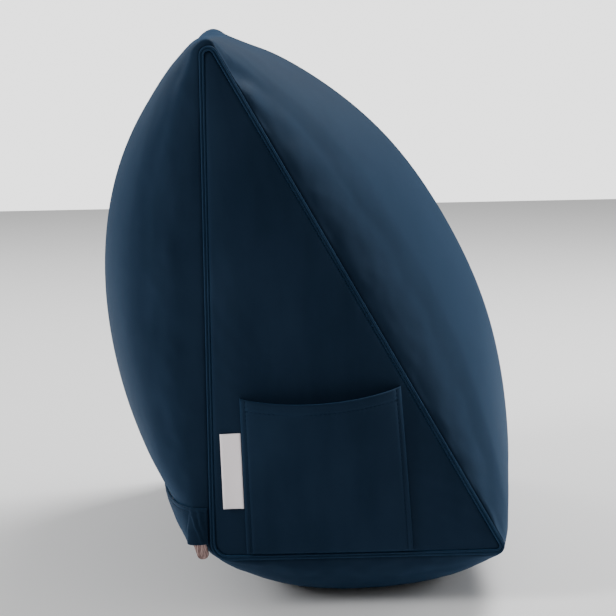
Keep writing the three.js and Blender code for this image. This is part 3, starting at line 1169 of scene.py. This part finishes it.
def stitchRows(name, rows, s):
    path = bpy.data.curves.new(name, "CURVE")
    path.dimensions = "3D"
    for row in rows:
        spline = path.splines.new("POLY")
        spline.points.add(len(row) - 1)
        for point, place in zip(spline.points, row):
            point.co = (*place, 1)
    holder = bpy.data.objects.new(name + "Path", path)
    scene.collection.objects.link(holder)
    stitches = holder.modifiers.new("stitches", "NODES")
    stitches.node_group = stitchTree
    values = {
        "Pitch": s["pitch"],
        "Stitch Length": s["length"],
        "Thread Radius": s["radius"],
        "Thread": seamThread,
    }
    for item in stitchTree.interface.items_tree:
        if item.in_out == "INPUT" and item.name in values:
            stitches[item.identifier] = values[item.name]
    evaluated = holder.evaluated_get(bpy.context.evaluated_depsgraph_get())
    mesh = bpy.data.meshes.new_from_object(evaluated)
    bpy.data.objects.remove(holder)
    piece = bpy.data.objects.new(name, mesh)
    scene.collection.objects.link(piece)
    return piece


def pocketStitchPaths(s):
    width = s["bottomRight"] - s["bottomLeft"]
    height = s["mouthZLeft"] - s["bottomZ"]
    hemLine = 1 - s["hem"] / height
    out = s["thickness"] - s["groove"] + s["stitchOut"]
    steps = [i / (s["stitchSteps"] - 1) for i in range(s["stitchSteps"])]
    rows = []
    for a in (s["seamBand"] / width, 1 - s["seamBand"] / width):
        row = []
        for t in steps:
            b = mix(*s["seamSpan"], t)
            x, z = pocketPlace(a, b, s)
            extra = s["hemExtra"] if b > hemLine else 0
            row.append(panelPoint(x, z, pocketOut(a, b, s) + out + extra))
        rows.append(row)
    hem = []
    for t in steps:
        a = mix(*s["hemSpan"], t)
        b = hemLine + s["hemStitch"] / height
        x, z = pocketPlace(a, b, s)
        hem.append(panelPoint(x, z, pocketOut(a, b, s) + out + s["hemExtra"]))
    rows.append(hem)
    return rows


def flapStitchPath(s, fold):
    drop = s["stitchDrop"] / (s["top"] - s["low"])
    row = flapRow(drop, s, fold)[s["stitchSkip"]:-s["stitchSkip"]]
    return [[p + outward * (s["thickness"] - s["stitchSink"]) for p, outward, t in row]]


pocketStitches = stitchRows("pocketStitches", pocketStitchPaths(pocketSizes), stitchSizes)
flapStitches = stitchRows("flapStitches", flapStitchPath(flapSizes, foldSizes), stitchSizes)
print("stitches made")


# zip slider and pull

pullSizes = {
    "length": 0.0162,
    "width": 0.0085,
    "thickness": 0.0016,
    "tilt": 0.3,
    "x": -0.0106,  # its upper end, from the back seam and the base seam
    "y": -0.2397,
    "z": 0.0152,
    "ribs": 3,
    "ribHeight": 0.00028,
    "ribsFrom": 0.002,  # its ends stay smooth
    "endInset": 0.0002,
    "edgeRound": 0.0004,
    "across": 28,
    "down": 60,
}


def makePull(s):
    # rounded tab with raised ribs along it, hung from its upper end
    radius = s["width"] / 2 - s["endInset"]
    front = []
    back = []
    for i in range(s["down"]):
        z = -s["length"] * (i / (s["down"] - 1))
        fromEnd = min(-z, s["length"] + z)
        inset = 0
        if fromEnd < radius:
            inset = radius - math.sqrt(max(radius ** 2 - (radius - fromEnd) ** 2, 0))
        half = s["width"] / 2 - inset
        for j in range(s["across"]):
            a = 2 * j / (s["across"] - 1) - 1
            rib = 0
            if fromEnd > s["ribsFrom"]:
                rib = s["ribHeight"] * math.cos(a * math.pi * s["ribs"]) * (1 - abs(a) ** 6)
            edge = s["edgeRound"] * abs(a) ** 8
            front.append(Vector((a * half, -s["thickness"] + edge - rib, z)))
            back.append(Vector((a * half, -edge, z)))
    piece = makePiece("zipPull", front + back, sheetFaces(s["down"], s["across"]), zipMetal)
    turn = Matrix.Rotation(-s["tilt"], 4, "Y")
    x = cushionSizes["backSeamX"] + s["x"]
    z = cushionSizes["seamLift"] + s["z"]
    place = Vector((x, s["y"], z))
    piece.data.transform(Matrix.Translation(place) @ turn)
    return piece


pull = makePull(pullSizes)

sliderSizes = {
    "merge": 1e-6,
    "flatAngle": 2,  # degrees, edges flatter than this are dissolved
    "bevel": 0.0004,
    "bevelSegments": 3,
    "bevelAngle": 40,
}


def dressSlider(s):
    # the slider keeps its own solid, merged and bevelled
    node = bpy.data.objects["zip_slider"]
    mesh = node.data.copy()
    piece = bpy.data.objects.new("zipSlider", mesh)
    scene.collection.objects.link(piece)
    work = bmesh.new()
    work.from_mesh(mesh)
    bmesh.ops.remove_doubles(work, verts=work.verts, dist=s["merge"])
    flat = math.radians(s["flatAngle"])
    bmesh.ops.dissolve_limit(work, angle_limit=flat, verts=work.verts, edges=work.edges)
    work.to_mesh(mesh)
    work.free()
    mesh.materials.clear()
    mesh.materials.append(zipMetal)
    bevel = piece.modifiers.new("softEdge", "BEVEL")
    bevel.width = s["bevel"]
    bevel.segments = s["bevelSegments"]
    bevel.angle_limit = math.radians(s["bevelAngle"])
    return applyModifiers(piece)


slider = dressSlider(sliderSizes)
print("zip parts made")


# what each piece replaces, rides on and is

for piece, node, finish in (
    (cushion, "cushion_body", "velvet"),
    (weltNear, "welt_near_end", "welt"),
    (weltFar, "welt_far_end", "welt"),
    (pocket, "side_pocket", "velvet"),
    (tab, "label_tab", "tab"),
    (flap, "zip_flap", "velvet"),
    (slider, "zip_slider", "zip"),
    (pull, "zip_pull", "zip"),
):
    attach(piece, "root")
    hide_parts(node)
for piece in (pocketStitches, flapStitches):
    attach(piece, "root")


# floor, lights and camera

studioSizes = {
    "floor": 6.0,
    "floorColour": (0.93, 0.93, 0.93, 1),
    "floorRoughness": 0.9,
    "backdrop": 2.4,  # what the camera sees of the room
    "room": 0.42,  # what the pillow gets of it
    "key": {"at": (0.8, 1.0, 1.9), "size": 0.9, "power": 54.0},
    "rim": {"at": (1.9, 0.4, 0.7), "size": 0.9, "power": 12.0},
    "fill": {"at": (-2.1, -1.1, 1.3), "size": 0.9, "power": 40.0},
    "back": {"at": (-1.6, 1.8, 1.4), "size": 0.8, "power": 14.0},
    "aim": (0, 0, 0.18),
}


def makeFloor(s):
    half = s["floor"] / 2
    corners = [(-half, -half, 0), (half, -half, 0), (half, half, 0), (-half, half, 0)]
    material, tree, shader = newMaterial("paleFloor")
    setInputs(shader, {"Base Color": s["floorColour"], "Roughness": s["floorRoughness"]})
    floor = makePiece("studioFloor", corners, [(0, 1, 2, 3)], material, smooth=False)


def addSoftLight(name, s, aim):
    lamp = bpy.data.lights.new(name, "AREA")
    lamp.energy = s["power"]
    lamp.size = s["size"]
    holder = bpy.data.objects.new(name, lamp)
    scene.collection.objects.link(holder)
    at = Vector(s["at"])
    holder.location = at
    holder.rotation_euler = (Vector(aim) - at).to_track_quat("-Z", "Y").to_euler()


def lightWorld(s):
    world = bpy.data.worlds.new("paleRoom")
    world.use_nodes = True
    tree = world.node_tree
    room = tree.nodes["Background"]
    room.inputs["Color"].default_value = (1, 1, 1, 1)
    rays = addNode(tree, "ShaderNodeLightPath")
    strength = addNode(tree, "ShaderNodeMapRange")
    setInputs(strength, {"To Min": s["room"], "To Max": s["backdrop"]})
    connect(
        tree,
        (rays, "Is Camera Ray", strength, "Value"),
        (strength, "Result", room, "Strength"),
    )
    scene.world = world


cameraSizes = {
    "eye": (-0.0799, -1.840, 0.4303),
    "yaw": 0.0262,
    "pitch": 0.1329,
    "roll": -0.0177,
    "lens": 135.8,
    "sensor": 36.0,
}


def placeCamera(s):
    data = bpy.data.cameras.new("photoCamera")
    data.lens = s["lens"]
    data.sensor_width = s["sensor"]
    holder = bpy.data.objects.new("photoCamera", data)
    scene.collection.objects.link(holder)
    ahead = Vector((
        math.sin(s["yaw"]) * math.cos(s["pitch"]),
        math.cos(s["yaw"]) * math.cos(s["pitch"]),
        -math.sin(s["pitch"]),
    ))
    level = Vector((math.cos(s["yaw"]), -math.sin(s["yaw"]), 0))
    above = level.cross(ahead)
    right = level * math.cos(s["roll"]) + above * math.sin(s["roll"])
    up = above * math.cos(s["roll"]) - level * math.sin(s["roll"])
    turned = Matrix((right, up, -ahead)).transposed().to_4x4()
    holder.matrix_world = Matrix.Translation(Vector(s["eye"])) @ turned
    scene.camera = holder


makeFloor(studioSizes)
lightWorld(studioSizes)
for lightName in ("key", "rim", "fill", "back"):
    addSoftLight(lightName + "Light", studioSizes[lightName], studioSizes["aim"])
placeCamera(cameraSizes)
print("studio made")
